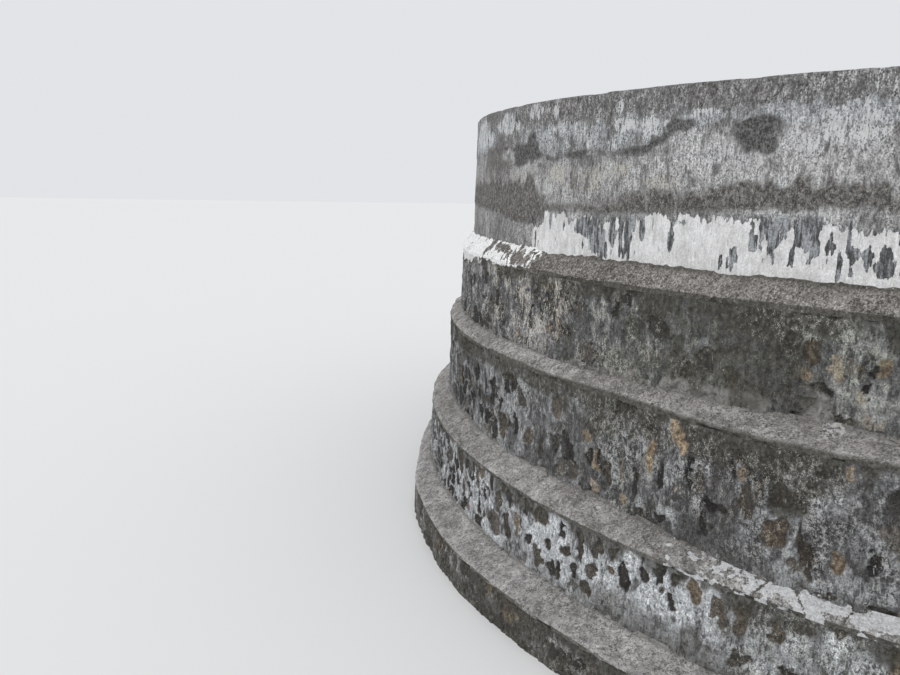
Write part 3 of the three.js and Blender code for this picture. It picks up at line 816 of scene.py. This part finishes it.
def ledge_piece(name, index):
    bed, nose, crest, nose_radius, inner_radius, turn, nose_stray, inner_stray, drop = LEDGES[name]
    angles, theta, fine = ring_part(turn, LEDGE_BLOCKS, index, LEDGE_JOINT[name], nose_radius)
    step = FINE_STEP if fine else COARSE_STEP * 0.8
    width = nose_radius - inner_radius
    rise = crest - nose
    face = rows(bed, nose - NOSE_EASE, step)
    loop = [(0, h) for h in face]
    for part, inward, down in rounding(NOSE_EASE, 5):
        loop.append((inward, nose - down + 0.4 * NOSE_EASE * rise / width * part))
    loop += [(b, nose + rise * b / width) for b in rows(NOSE_EASE, width + LEDGE_TAIL, step)]
    visible = len(loop)
    loop.append((width + LEDGE_TAIL, bed))
    back, level = np.array(loop).T
    share = np.clip(back / width, 0, 1)
    order = np.arange(len(loop))
    radius = nose_radius - back + (1 - share) * eased(nose_stray, theta) + share * eased(inner_stray, theta)
    height = level + np.where(order < visible, share, 0) * eased(drop, theta)
    slope = math.atan2(1, rise / width)
    out = np.where(order < len(face), 1, math.cos(slope))
    up = np.where(order < len(face), 0, math.sin(slope))
    relief, marks = ledge_look(name, theta, back[None, :] + 0 * theta, height, nose_radius, width, nose)
    relief = relief * (order < visible - 1)
    radius = radius + relief * out
    height = height + relief * up * (order > 0)
    return swept_piece(f"{name}_{index + 1}_mortar", angles, radius, height, marks, [0, visible - 1, visible])


def brushed_lime(theta, back, around, seed, fleck):
    """Whitewash brushed slantwise over the uppermost ledge."""
    degrees = np.degrees(theta)
    diagonal = theta * around * 0.8 + back * 0.6
    across = back * 0.8 - theta * around * 0.6
    streak = 0.6 * noise(diagonal / 0.042 + 50, across / 0.22 + 50, 3)
    streak = streak + 0.4 * noise(diagonal / 0.018 + 9, across / 0.1, 7)
    thin = follow(theta, BRUSH_THIN)
    lime = soft_step(150, 165, degrees) * fade(202.4, 203, degrees + 12 * fleck)
    lime = lime * soft_step(thin - 0.05, thin + 0.05, streak)
    for *spot, strength in BRUSH_GAPS:
        lime = lime * (1 - strength * patch(theta, back, spot, 0.5, 1.6 * fleck))
    for spot in BRUSH_SPOTS:
        lime = np.maximum(lime, patch(theta, back, spot, 0.5, 1.5 * fleck))
    broken = soft_step(0.5, 0.58, ring_noise((theta, around, 0 * back), 1.1, seed + 7) + 0.3 * fleck)
    return np.maximum(lime, broken * ((degrees < 150) | (degrees > 236)) * soft_step(0.3, 0.45, streak))


def washed_lime(theta, back, crack, cloud, fleck):
    """Limewash of the lower ledge, at the right."""
    degrees = np.degrees(theta)
    start = soft_step(222.6, 226.6, degrees + 16 * fleck + 4 * cloud) * fade(246, 258, degrees)
    lime = (0.8 + 0.9 * fleck) * start * soft_step(-0.02, 0.06, back + 0.5 * fleck) * (1 - 0.8 * crack)
    return lime * (1 - 0.8 * patch(theta, back, (226, 0.04, 1, 0.05), 0.6, 1.5 * fleck))


def ledge_look(name, theta, back, height, around, width, nose):
    """Relief and masks of a ledge, worn along its nose. Back is the distance in from the nose."""
    seed = LEDGE_SEED[name]
    degrees = np.degrees(theta)
    place = (theta, around - back, height)
    on_top = soft_step(nose - 0.03, nose - 0.006, height)
    near_nose = close_to(back, 0.035)
    waves = wave(place, 0.35, seed)
    lumps = wave(place, 0.1, seed + 5)
    grain = wave(place, 0.045, seed + 1, 2)
    worn = soft_step(0.5, 0.72, ring_noise((theta, around, height * 0.3), 0.16, seed + 2))
    crack = 0 * back
    sway = 0.25 * wave(place, 0.08, seed + 6, 2)
    for centre, lean, strength in LEDGE_CRACKS[name]:
        off = np.abs(degrees - centre - lean * back / width - sway) * math.radians(1) * around
        crack = np.maximum(crack, strength * fade(0.006, 0.02, off))
    relief = -0.012 + 0.034 * waves + 0.03 * lumps + 0.018 * grain - 0.022 * worn * near_nose - 0.012 * crack
    cloud = wave(place, 0.5, seed + 3, 4)
    fleck = wave(place, 0.07, seed + 4)
    lime = 0 * relief
    # Painted shade, with damp: the upright face of the nose and the inner edge, where the ledge meets the
    # face above, are made darker
    nose_face_shade_and_damp = (1 - on_top) * soft_step(-0.35, 0, cloud + 0.5 * fleck)
    damp = 0.55 * close_to(width - back, 0.02) + 0.95 * nose_face_shade_and_damp + 0.9 * crack
    if name == "lower_ledge":
        lime = washed_lime(theta, back, crack, cloud, fleck)
    if name == "middle_ledge":
        lime = 0.55 * patch(theta, back, (230.4, 0.14, 0.8, 0.06), 0.9, 2.4 * fleck)
        # Painted shade, with damp, on the upright face of the nose from about 200 degrees on
        damp = damp + 0.8 * fade(nose - 0.012, nose + 0.014, height) * soft_step(197, 202, degrees)
    if name == "upper_ledge":
        lime = brushed_lime(theta, back, around, seed, fleck)
        damp = damp + (0.22 + 0.8 * cloud + 0.8 * fleck) * soft_step(203, 205, degrees)
        hang = follow(theta, BRUSH_HANG)
        drip = wave((theta, around, height * 0.1), 0.05, 39)
        lip = nose - 0.02
        below = fade(0, 0.02, lip - height - hang - 0.1 * drip) * (hang > 0.005)
        on_face = height < lip
        lime = np.where(on_face, below, lime)
        damp = damp * (1 - 0.8 * np.where(on_face, lime, 0))
    worn = near_nose * on_top * (0.4 + 1.2 * worn) * LEDGE_WEAR[name]
    return relief, clipped(dict(lime=lime, damp=damp, worn=worn, tone=0.5 + cloud + 0.4 * fleck))


def coping_piece(index):
    angles, theta, fine = ring_part(COPING_TURN, LEDGE_BLOCKS, index, COPING_JOINT, COPING_RADIUS)
    step = FINE_STEP if fine else COARSE_STEP
    shoulder = COPING_RADIUS - COPING_EASE
    loop = [(COPING_RADIUS, h) for h in rows(COPING_BED, TOP - COPING_EASE, step)]
    loop += [(COPING_RADIUS - inward, TOP - down) for _, inward, down in rounding(COPING_EASE, 4)]
    loop += [(shoulder - r, TOP) for r in rows(0, shoulder - PARAPET_BACK, step * 2.5)]
    loop += [(PARAPET_BACK, h) for h in rows(COPING_BED, TOP, 0.1)[::-1][1:]]
    loop_radius, loop_height = np.array(loop).T
    radius = np.broadcast_to(loop_radius, (len(angles), len(loop)))
    height = np.broadcast_to(loop_height, radius.shape)
    relief, marks = render_look(theta, height, WALLS["parapet_wall"][2])
    edge = np.exp(-(np.abs(radius - COPING_RADIUS) + np.abs(height - TOP)) / 0.03)
    chips = edge * soft_step(0.5, 0.72, ring_noise((theta, radius, 0 * height), 0.22, 61))
    outer = loop_radius > shoulder - NEAR
    on_top = (loop_height > TOP - NEAR) & (loop_radius > PARAPET_BACK + NEAR)
    push = np.where(outer, relief - 0.02 * chips, 0)
    drop = np.minimum(-0.006 + 0.01 * wave((theta, radius, height), 0.3, 62) - 0.012 * chips, -0.0005)
    drop = np.where(on_top | (outer & (loop_height > TOP - COPING_EASE)), drop, 0)
    inner_top = int(np.flatnonzero(loop_radius < PARAPET_BACK + NEAR)[0])
    corners = [0, inner_top, len(loop) - 1]
    return swept_piece(f"coping_{index + 1}_render", angles, radius + push, height + drop, marks, corners)


# Procedural materials, all with the same faint sheen
SHEEN = 0.25


class Paint:
    """A node material under construction."""

    def __init__(self, name, roughness):
        self.material = bpy.data.materials.new(name)
        self.material.use_nodes = True
        self.tree = self.material.node_tree
        self.shader = self.tree.nodes["Principled BSDF"]
        self.shader.inputs["Roughness"].default_value = roughness
        self.shader.inputs["Specular IOR Level"].default_value = SHEEN
        self.place = self.tree.nodes.new("ShaderNodeTexCoord").outputs["Object"]

    def link(self, source, socket):
        if isinstance(source, (int, float)):
            socket.default_value = source
        elif isinstance(source, tuple):
            socket.default_value = (*source, 1)[: len(socket.default_value)]
        else:
            self.tree.links.new(source, socket)

    def node(self, kind, inputs, **settings):
        node = self.tree.nodes.new("ShaderNode" + kind)
        for key, value in settings.items():
            setattr(node, key, value)
        for key, value in inputs.items():
            self.link(value, node.inputs[key])
        return node

    def mark(self, name):
        return self.node("Attribute", {}, attribute_name=name).outputs["Fac"]

    def texture(self, mapping, size, detail, roughness):
        node = self.node("TexNoise", {"Scale": 1 / size, "Detail": detail, "Roughness": roughness})
        self.link(mapping.outputs["Vector"], node.inputs["Vector"])
        return node.outputs["Fac"]

    def noise(self, size, upright=1, detail=4, roughness=0.6):
        """Noise with features of about size metres, stretched upright."""
        mapping = self.node("Mapping", {"Vector": self.place, "Scale": (1, 1, 1 / upright)})
        return self.texture(mapping, size, detail, roughness)

    def streaks(self, size, length, turn):
        """Noise in level streaks, length times as long as they are wide, turned from the x axis."""
        inputs = {"Vector": self.place, "Rotation": (0, 0, math.radians(turn)), "Scale": (length, 1, 1)}
        return self.texture(self.node("Mapping", inputs, vector_type="TEXTURE"), size, 3, 0.6)

    def math(self, kind, a, b):
        return self.node("Math", {0: a, 1: b}, operation=kind).outputs["Value"]

    def add(self, a, b):
        return self.math("ADD", a, b)

    def times(self, a, b):
        return self.math("MULTIPLY", a, b)

    def stirred(self, value, *swings):
        """A value with noises added, each given as a noise and a factor and swinging about zero."""
        for noise, factor in swings:
            value = self.add(value, self.times(self.math("SUBTRACT", noise, 0.5), factor))
        return value

    def pulled(self, name, *swings):
        """A mark pulled about by noises."""
        return self.stirred(self.mark(name), *swings)

    def span(self, value, low=0, high=1, to_low=0, to_high=1):
        inputs = {"Value": value, "From Min": low, "From Max": high, "To Min": to_low, "To Max": to_high}
        return self.node("MapRange", inputs, interpolation_type="SMOOTHSTEP").outputs["Result"]

    def beyond(self, value, limit, width):
        """1 where the value is past the limit, which may be a socket. A width below 0 turns it round."""
        return self.span(value, limit, self.add(limit, width))

    def mix(self, share, a, b, blend="MIX"):
        return self.node("Mix", {0: share, 6: a, 7: b}, data_type="RGBA", blend_type=blend).outputs[2]

    def over(self, colour, share, strength, top):
        """The colour with a top colour over it."""
        return self.mix(self.times(share, strength), colour, top)

    def blend(self, value, spread, a, b):
        """From one colour to another as a value goes up through its middle."""
        return self.mix(self.span(value, 0.5 - spread, 0.5 + spread), a, b)

    def shade(self, colour, value, amount, spread=0.25):
        """The colour made darker and lighter by a noise value. Where that noise is also one of the bumps,
        this is partly painted shade in the hollows of the bump and painted light on its crests.
        """
        level = self.span(value, 0.5 - spread, 0.5 + spread, 1 - amount, 1 + amount)
        return self.mix(1, colour, level, "MULTIPLY")

    def grain(self, colour, value, amount, share):
        """Like shade, where the share says how much of it shows at each place. Where the noise is also one of
        the bumps, it is partly painted shade in the hollows and painted light on the crests.
        """
        level = self.add(1, self.times(share, self.span(value, 0.36, 0.64, -amount, amount)))
        return self.mix(1, colour, level, "MULTIPLY")

    def finish(self, colour, depth, *bumps):
        """The material of a colour and of bumps, each given as a value and a factor."""
        self.link(colour, self.shader.inputs["Base Color"])
        height = 0
        for value, factor in bumps:
            height = self.add(height, self.times(value, factor))
        bump = self.node("Bump", {"Strength": 1, "Distance": depth, "Height": height})
        self.link(bump.outputs["Normal"], self.shader.inputs["Normal"])
        return self.material


def grey(value, warm=0):
    """A linear colour near grey, warmer or cooler."""
    return (value * (1 + warm), value, value * (1 - warm))


# Turn in degrees of the brush strokes on the uppermost ledge
BRUSH_TURN = 47

WHITE_LIME = grey(0.72, 0.01)
# Colours of damp and of the painted shade under ledges, in corners and in pits
DAMP_AND_SHADE_DARK = (0.038, 0.036, 0.029)
DAMP_AND_SHADE_LIGHT = (0.105, 0.1, 0.083)
OCHRE_DARK = (0.2, 0.14, 0.09)
OCHRE = (0.39, 0.31, 0.21)
CREAM = (0.5, 0.47, 0.4)
CRUMB = (0.48, 0.47, 0.44)
BLACK = (0.03, 0.029, 0.027)
OLIVE = (0.9, 0.95, 0.82)


def rubble_material(name, mortar_dark, mortar_pale, stone_dark, stone_light, run_colour=CREAM):
    p = Paint(name, 0.92)
    fine = p.noise(0.014, 1.1, 4, 0.75)
    grit = p.noise(0.008, 1.2, 2, 0.6)
    speck = p.noise(0.034, 1.3, 4, 0.7)
    patchy = p.noise(0.13, 1.3, 5, 0.65)
    run = p.noise(0.026, 3.4, 4, 0.7)
    wide_run = p.noise(0.1, 2.6, 4, 0.65)
    thin_run = p.noise(0.015, 5, 3, 0.65)
    slab = p.mark("slab")
    # Mortar and stones
    lime = p.pulled("lime", (patchy, 1.8), (wide_run, 1.4))
    mortar = p.mix(p.span(lime, 0.05), mortar_dark, mortar_pale)
    mortar = p.shade(mortar, run, 0.3, 0.16)
    stone = p.mix(p.span(p.pulled("tone", (patchy, 0.6))), stone_dark, stone_light)
    stone = p.mix(p.mark("ochre"), stone, p.blend(speck, 0.15, OCHRE_DARK, OCHRE))
    ragged = p.stirred(0, (speck, 1.5), (fine, 0.8), (patchy, 0.8))
    ragged = p.add(p.mark("stone"), p.times(ragged, p.span(slab, 0, 1, 1, 0.25)))
    colour = p.mix(p.span(ragged, 0.25, 0.75), mortar, stone)
    # Painted shadow along the edges of the stones
    colour = p.over(colour, p.mark("rim"), 0.4, BLACK)
    algae = p.span(p.pulled("algae", (patchy, 1.2)), 0.1)
    colour = p.mix(algae, colour, p.mix(1, colour, OLIVE, "MULTIPLY"))
    # Grain, pits and grime
    colour = p.shade(colour, patchy, 0.22)
    cluster = p.span(p.pulled("specks", (patchy, 2.6), (wide_run, 1.4)), 0.05, 1.05)
    cluster = p.math("SUBTRACT", cluster, p.times(slab, 0.7))
    share = p.span(cluster, 0, 1, 0.5, 1)
    colour = p.grain(colour, speck, 0.42, share)
    colour = p.grain(colour, fine, 0.74, share)
    sand = p.stirred(grit, (speck, 0.9))
    colour = p.over(colour, p.beyond(sand, p.span(cluster, 0, 1, 0.27, 0.42), -0.05), 0.9, BLACK)
    grime = p.span(p.stirred(wide_run, (speck, 0.5), (thin_run, 0.6)), 0.46, 0.36)
    grime = p.times(grime, p.span(lime, 0.2, 1.2, 0.85, 0.35))
    grime = p.times(grime, p.span(slab, 0, 1, 1, 0.3))
    colour = p.mix(grime, colour, p.blend(fine, 0.2, BLACK, grey(0.09, 0.04)))
    # Pale runs, fresh mortar, damp with painted shade, crumbs and whitewash
    limit = p.span(p.pulled("runs", (patchy, 1.2)), 0.1, 1, 0.72, 0.54)
    stroke = p.stirred(thin_run, (wide_run, 0.4), (fine, 0.4))
    colour = p.over(colour, p.beyond(stroke, limit, 0.05), 0.9, run_colour)
    fresh = p.span(p.pulled("mortar", (patchy, 1.2), (speck, 1.2)), 0.2, 0.95)
    colour = p.over(colour, fresh, 0.9, p.blend(speck, 0.15, grey(0.23, 0.05), grey(0.37, 0.04)))
    # Damp and painted shade: the band under the ledges, the corner at the foot of each face and the pits
    damp = p.span(p.pulled("damp", (patchy, 1.2), (speck, 0.7)), 0.1)
    colour = p.over(colour, damp, 0.82, p.blend(speck, 0.15, DAMP_AND_SHADE_DARK, DAMP_AND_SHADE_LIGHT))
    colour = p.over(colour, p.beyond(sand, p.span(cluster, 0, 1, 0.75, 0.59), 0.05), 0.85, CRUMB)
    wash = p.span(p.pulled("wash", (run, 0.9), (speck, 0.4)), 0.45, 0.6)
    colour = p.mix(wash, colour, WHITE_LIME)
    return p.finish(colour, 0.026, (fine, 0.5), (speck, 0.8), (patchy, 0.8))


def render_material(name):
    p = Paint(name, 0.9)
    grit = p.noise(0.008, 1.4, 2, 0.6)
    fine = p.noise(0.013, 1.3, 4, 0.75)
    speck = p.noise(0.034, 1.2, 4, 0.7)
    patchy = p.noise(0.15, 1.1, 5, 0.65)
    run = p.noise(0.02, 4, 4, 0.7)
    wide_run = p.noise(0.09, 2.8, 4, 0.65)
    long_run = p.noise(0.026, 7, 3, 0.65)
    # Bare render and its grain
    lime = p.pulled("lime", (patchy, 1.7), (wide_run, 0.8))
    pale = p.mix(p.mark("lift"), grey(0.43), grey(0.415, -0.04))
    colour = p.mix(p.span(lime), grey(0.15, 0.04), pale)
    colour = p.over(colour, p.mark("plain"), 0.75, p.blend(patchy, 0.2, grey(0.165, 0.02), grey(0.25)))
    colour = p.over(colour, p.mark("rim"), 0.7, grey(0.42, 0.02))
    top = p.span(p.pulled("top", (patchy, 0.9)), 0.15, 0.9)
    colour = p.over(colour, top, 0.78, p.blend(speck, 0.15, grey(0.11, 0.05), grey(0.19, 0.03)))
    rough = p.span(p.stirred(wide_run, (patchy, 0.8)), 0.36, 0.64, 0.55, 1)
    colour = p.grain(colour, run, 0.3, rough)
    colour = p.shade(colour, long_run, 0.1)
    colour = p.grain(colour, speck, 0.32, rough)
    colour = p.grain(colour, fine, 0.7, rough)
    # Dark runs, pale flecks and cream strokes
    dark_run = p.span(p.stirred(run, (wide_run, 1.1)), 0.46, 0.36)
    dark_run = p.times(dark_run, p.span(patchy, 0.6, 0.36, 0.05, 0.75))
    colour = p.mix(dark_run, colour, grey(0.08, 0.02))
    stroke = p.stirred(run, (wide_run, 0.5), (fine, 0.7))
    fleck = p.span(p.pulled("fleck", (patchy, 1.2)), 0, 1, 0.7, 0.45)
    colour = p.over(colour, p.beyond(stroke, fleck, 0.06), 0.92, grey(0.62, -0.01))
    cream = p.span(p.pulled("cream", (patchy, 1.4)), 0.1, 1, 0.72, 0.52)
    colour = p.over(colour, p.beyond(stroke, cream, 0.06), 0.85, CREAM)
    # Moss, sand and pits
    moss = p.span(p.pulled("moss", (patchy, 1.5), (speck, 1.2), (fine, 1)), 0.1, 0.95)
    brown = p.blend(p.stirred(speck, (fine, 1)), 0.12, grey(0.045, 0.08), grey(0.17, 0.06))
    colour = p.over(colour, moss, 0.9, brown)
    sand = p.stirred(grit, (speck, 0.8))
    colour = p.over(colour, p.beyond(sand, p.times(p.add(fleck, 0.8), 0.5), 0.05), 0.8, grey(0.6))
    busy = p.math("MAXIMUM", moss, p.times(top, 0.5))
    crumbs = p.beyond(sand, p.span(busy, 0, 1, 0.78, 0.66), 0.06)
    colour = p.mix(crumbs, colour, p.mix(0.35, CREAM, colour))
    colour = p.mix(p.beyond(sand, p.span(busy, 0, 1, 0.28, 0.41), -0.06), colour, grey(0.045, 0.02))
    # Damp
    damp = p.span(p.pulled("damp", (patchy, 0.9), (speck, 0.9), (fine, 0.7)), 0.12, 0.98)
    wet = p.blend(p.stirred(speck, (fine, 1.4)), 0.12, grey(0.03, 0.04), grey(0.118, 0.03))
    wet = p.mix(p.span(sand, 0.62, 0.68, 0, 0.5), wet, grey(0.3, 0.02))
    colour = p.over(colour, damp, 0.93, wet)
    # The face behind the whitewash, and the whitewash
    bare = p.blend(p.stirred(long_run, (run, 0.8)), 0.1, grey(0.045, -0.03), grey(0.15, -0.04))
    bare = p.mix(p.span(p.stirred(long_run, (wide_run, 1.2)), 0.44, 0.62), bare, grey(0.3, -0.05))
    colour = p.over(colour, p.mark("under"), 0.88, p.shade(bare, fine, 0.4, 0.15))
    cover = p.span(p.pulled("wash", (long_run, 1.5), (speck, 0.6), (fine, 0.5)), 0.46, 0.56)
    white = p.blend(p.stirred(patchy, (long_run, 0.8)), 0.2, grey(0.56, 0.01), grey(0.77))
    stain = p.span(p.stirred(long_run, (wide_run, 0.8)), 0.62, 0.72, 0, 0.5)
    white = p.mix(stain, white, grey(0.3, -0.04))
    colour = p.mix(cover, colour, p.shade(white, fine, 0.16, 0.15))
    return p.finish(colour, 0.014, (fine, 0.5), (speck, 0.7), (run, 0.4), (cover, 0.3))


def ledge_material(name, low, high, white, brushed):
    """Mortar of a ledge and its limewash. Brushed is 1 where the limewash lies in brush strokes."""
    p = Paint(name, 0.92)
    fine = p.noise(0.014, 1, 4, 0.75)
    speck = p.noise(0.034, 1, 4, 0.7)
    patchy = p.noise(0.14, 1, 5, 0.65)
    wide = p.noise(0.22, 1, 4, 0.7)
    brush = p.streaks(0.02, 7, BRUSH_TURN)
    colour = p.mix(p.span(p.pulled("tone", (patchy, 1.2)), 0.05, 0.95), low, high)
    rough = p.span(p.stirred(wide, (speck, 0.6)), 0.38, 0.62, 0.4, 1)
    colour = p.shade(colour, patchy, 0.25)
    colour = p.grain(colour, speck, 0.36, rough)
    colour = p.shade(colour, brush, 0.12 + 0.48 * brushed)
    colour = p.grain(colour, fine, 0.58 + 0.12 * brushed, rough)
    colour = p.over(colour, p.span(p.stirred(fine, (speck, 0.9)), 0.6, 0.7), 0.75, grey(0.5, 0.03))
    colour = p.over(colour, p.span(p.stirred(fine, (speck, 1)), 0.42, 0.3), 0.8, grey(0.05, 0.08))
    worn = p.times(p.mark("worn"), p.span(p.stirred(speck, (patchy, 0.8)), 0.4, 0.66))
    colour = p.mix(worn, colour, grey(0.46, 0.02))
    # Damp, and painted shade on the upright face of the nose and along the inner edge
    damp = p.span(p.pulled("damp", (patchy, 1), (speck, 0.8)), 0.15)
    colour = p.over(colour, damp, 0.82, p.blend(speck, 0.15, DAMP_AND_SHADE_DARK, DAMP_AND_SHADE_LIGHT))
    cover = p.pulled("lime", (patchy, 0.7 - 0.5 * brushed), (speck, 1.5 - 0.9 * brushed))
    cover = p.span(p.stirred(cover, (brush, 0.3 + 1.6 * brushed), (fine, 1)), 0.42, 0.6)
    colour = p.over(colour, cover, 0.96, p.shade(p.shade(white, speck, 0.2), fine, 0.3))
    return p.finish(colour, 0.02, (fine, 0.6), (speck, 0.9), (patchy, 0.6))


def wall_paints():
    dark_run, warm_run = grey(0.48, -0.04), (0.7, 0.64, 0.54)
    rubble = {
        "footing": (grey(0.13, 0.04), grey(0.29, 0.02), grey(0.05, 0.06), grey(0.15, 0.05)),
        "lower_tier": (grey(0.27, -0.02), grey(0.58, -0.03), grey(0.035, 0.06), grey(0.16, 0.07)),
        "middle_tier": (grey(0.11), grey(0.34, -0.02), grey(0.026, 0.05), grey(0.25, 0.06), dark_run),
        "upper_tier": (grey(0.125, -0.01), grey(0.37), grey(0.03, 0.05), grey(0.28, 0.06), warm_run),
    }
    paints = {}
    for tier, tones in rubble.items():
        paints[f"{tier}_wall"] = rubble_material("rubble_" + tier.split("_")[0], *tones)
    paints["parapet_wall"] = render_material("render_parapet")
    return paints


def ledge_paints():
    tones = {
        "footing": (grey(0.24, 0.04), grey(0.42, 0.02), grey(0.55), 0),
        "lower": (grey(0.21, 0.05), grey(0.36, 0.03), grey(0.6, -0.01), 0),
        "middle": (grey(0.22, 0.05), grey(0.39, 0.04), grey(0.5, 0.01), 0),
        "upper": (grey(0.13, 0.08), grey(0.3, 0.06), grey(0.92), 1),
    }
    return {f"{ledge}_ledge": ledge_material(f"mortar_{ledge}", *values) for ledge, values in tones.items()}


# Half the side of the floor and its level, just under the foot of the bastion
FLOOR_HALF = 150
FLOOR_LEVEL = -0.0002


def floor_material():
    return Paint("floor_paper", 0.9).finish(grey(0.8), 0)


def add_stage():
    mesh = bpy.data.meshes.new("floor")
    sides = [(-1, -1), (1, -1), (1, 1), (-1, 1)]
    corners = [(x * FLOOR_HALF, y * FLOOR_HALF, FLOOR_LEVEL) for x, y in sides]
    mesh.from_pydata(corners, [], [(0, 1, 2, 3)])
    floor = placed("floor", mesh)
    floor.data.materials.append(floor_material())


def add_light():
    world = bpy.data.worlds.new("studio")
    bpy.context.scene.world = world
    world.use_nodes = True
    sky = world.node_tree.nodes["Background"]
    sky.inputs["Color"].default_value = SKY_COLOUR
    sky.inputs["Strength"].default_value = SKY_STRENGTH
    lamp = bpy.data.lights.new("soft_sun", "SUN")
    lamp.energy = SUN_ENERGY
    lamp.angle = SUN_SPREAD
    lamp.color = SUN_COLOUR
    holder = placed("soft_sun", lamp)
    holder.rotation_mode = "QUATERNION"
    holder.rotation_quaternion = SUN_TOWARD.to_track_quat("-Z", "Y")
    bpy.context.scene.view_settings.view_transform = "Standard"


def build():
    add_camera()
    add_stage()
    add_light()
    walls = wall_paints()
    ledges = ledge_paints()
    for name in WALLS:
        for index in range(WALL_BLOCKS):
            dress(wall_piece(name, index), f"{name}_{index + 1}", walls[name])
    for name in LEDGES:
        for index in range(LEDGE_BLOCKS):
            dress(ledge_piece(name, index), f"{name}_{index + 1}", ledges[name])
    for index in range(LEDGE_BLOCKS):
        dress(coping_piece(index), f"coping_{index + 1}", walls["parapet_wall"])


build()
